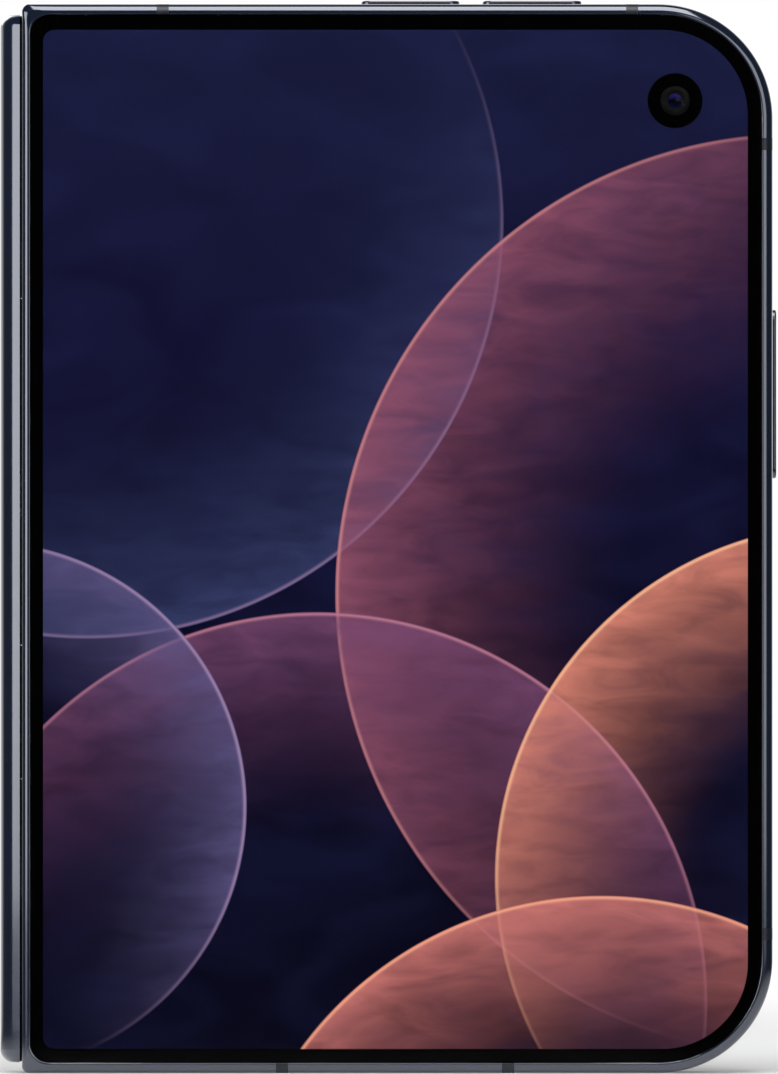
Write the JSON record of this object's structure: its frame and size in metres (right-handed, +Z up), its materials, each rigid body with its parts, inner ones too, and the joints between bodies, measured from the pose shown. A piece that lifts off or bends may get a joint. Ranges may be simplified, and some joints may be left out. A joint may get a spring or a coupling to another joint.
{
  "type": "foldable smartphone",
  "caption": "Book-style foldable smartphone: two thin halves on a geared spine hinge, cover display outside, flexible display inside, working buttons and card tray.",
  "frame": {"origin": "middle of the footprint, on the bottom edges that the closed phone stands on", "axes": "+X from the spine to the outer edge, +Y from the cover glass to the rear glass, +Z up along the spine"},
  "size_m": [0.0878, 0.0132, 0.1211],
  "materials": {
    "dark_frame_metal": "polished, dark blue grey",
    "spine_metal": "polished, dark blue grey",
    "hinge_steel": "fine ground",
    "gear_brass": "machined",
    "spring_steel": "bright",
    "flexible_display": "glossy black",
    "cover_glass": "clear, polished",
    "display_panel": "dark panel behind the glass",
    "back_glass": "satin, dark blue grey",
    "black_plastic": "black",
    "break_plastic": "grey blue",
    "camera_black": "black",
    "lens_glass": "coated",
    "lamp_plastic": "pale yellow",
    "battery_foil": "dark foil",
    "board_green": "solder resist",
    "shield_metal": "tinned",
    "coil_copper": "copper windings in film",
    "magnet_metal": "nickel plated",
    "port_steel": "drawn shell",
    "switch_metal": "flex strip with domes",
    "button_metal": "polished, dark blue grey"
  },
  "bodies": {
    "spine": {"spine_cover": "spine_metal", "spine_end_caps": "spine_metal", "hinge_brackets": "hinge_steel", "sync_bracket": "hinge_steel", "friction_plate": "hinge_steel", "torque_springs": "spring_steel", "bracket_screws": "spring_steel", "fold_support_bar": "hinge_steel", "inner_display_fold": "flexible_display"},
    "front_half": {"front_frame": "dark_frame_metal", "cover_glass": "cover_glass", "cover_display": "display_panel", "camera_mask_ring": "black_plastic", "front_camera": "camera_black", "earpiece": "black_plastic", "front_battery": "battery_foil", "front_board": "board_green", "front_inner_plate": "hinge_steel", "inner_display_front": "flexible_display", "front_inner_bezel": "black_plastic", "front_antenna_breaks": "break_plastic", "front_swing_arms": "hinge_steel", "front_arm_screws": "spring_steel", "front_magnets": "magnet_metal"},
    "rear_half": {"rear_frame": "dark_frame_metal", "rear_glass": "back_glass", "camera_island": "dark_frame_metal", "rear_lens_covers": "lens_glass", "wide_camera": "camera_black", "ultrawide_camera": "camera_black", "flash_lamp": "lamp_plastic", "logic_board": "board_green", "shield_cans": "shield_metal", "rear_battery": "battery_foil", "charging_port": "port_steel", "charging_board": "board_green", "bottom_speaker": "black_plastic", "haptic_motor": "shield_metal", "charging_coil": "coil_copper", "card_socket": "shield_metal", "rear_inner_plate": "hinge_steel", "inner_display_rear": "flexible_display", "rear_inner_bezel": "black_plastic", "rear_antenna_breaks": "break_plastic", "rear_swing_arms": "hinge_steel", "rear_arm_screws": "spring_steel", "rear_magnets": "magnet_metal", "button_switches": "switch_metal"},
    "front_sync": {"front_sync_shaft": "hinge_steel", "front_sync_arm": "hinge_steel"},
    "rear_sync": {"rear_sync_shaft": "hinge_steel", "rear_sync_arm": "hinge_steel"},
    "front_idler": {"front_idler_gear": "gear_brass"},
    "rear_idler": {"rear_idler_gear": "gear_brass"},
    "volume_up": {"volume_up_button": "button_metal"},
    "volume_down": {"volume_down_button": "button_metal"},
    "side_key": {"side_button": "button_metal"},
    "tray": {"card_tray": "button_metal"}
  },
  "joints": [
    {"name": "rear_half_hinge", "type": "hinge", "parent": "spine", "child": "rear_half", "pos_m": [-0.04047, 0, 0.0603], "axis": [0, 0, 1], "range_deg": [0, 90], "deforming": ["inner_display_fold"]},
    {"name": "front_half_hinge", "type": "hinge", "parent": "spine", "child": "front_half", "pos_m": [-0.04047, -0.002, 0.0603], "axis": [0, 0, -1], "range_deg": [0, 90]},
    {"name": "front_sync_turn", "type": "hinge", "parent": "spine", "child": "front_sync", "pos_m": [-0.04172, -0.00325, 0.0603], "axis": [0, 0, -1], "range_deg": [0, 90]},
    {"name": "rear_sync_turn", "type": "hinge", "parent": "spine", "child": "rear_sync", "pos_m": [-0.04172, 0.00125, 0.0603], "axis": [0, 0, 1], "range_deg": [0, 90]},
    {"name": "front_idler_turn", "type": "hinge", "parent": "spine", "child": "front_idler", "pos_m": [-0.04172, -0.00175, 0.0603], "axis": [0, 0, 1], "range_deg": [0, 90]},
    {"name": "rear_idler_turn", "type": "hinge", "parent": "spine", "child": "rear_idler", "pos_m": [-0.04172, -0.00025, 0.0603], "axis": [0, 0, -1], "range_deg": [0, 90]},
    {"name": "volume_up_press", "type": "slide", "parent": "rear_half", "child": "volume_up", "axis": [0, 0, -1], "range_m": [0, 0.00025], "stiffness_N_per_m": 6000, "springref_m": -0.0001},
    {"name": "volume_down_press", "type": "slide", "parent": "rear_half", "child": "volume_down", "axis": [0, 0, -1], "range_m": [0, 0.00025], "stiffness_N_per_m": 6000, "springref_m": -0.0001},
    {"name": "side_button_press", "type": "slide", "parent": "rear_half", "child": "side_key", "axis": [-1, 0, 0], "range_m": [0, 0.00025], "stiffness_N_per_m": 6000, "springref_m": -0.0001},
    {"name": "card_tray_slide", "type": "slide", "parent": "rear_half", "child": "tray", "axis": [1, 0, 0], "range_m": [0, 0.0165]}
  ],
  "couplings": [
    {"joint": "front_half_hinge", "follows": "rear_half_hinge", "ratio": 1},
    {"joint": "front_sync_turn", "follows": "rear_half_hinge", "ratio": 1},
    {"joint": "rear_sync_turn", "follows": "rear_half_hinge", "ratio": 1},
    {"joint": "front_idler_turn", "follows": "rear_half_hinge", "ratio": 1},
    {"joint": "rear_idler_turn", "follows": "rear_half_hinge", "ratio": 1}
  ]
}
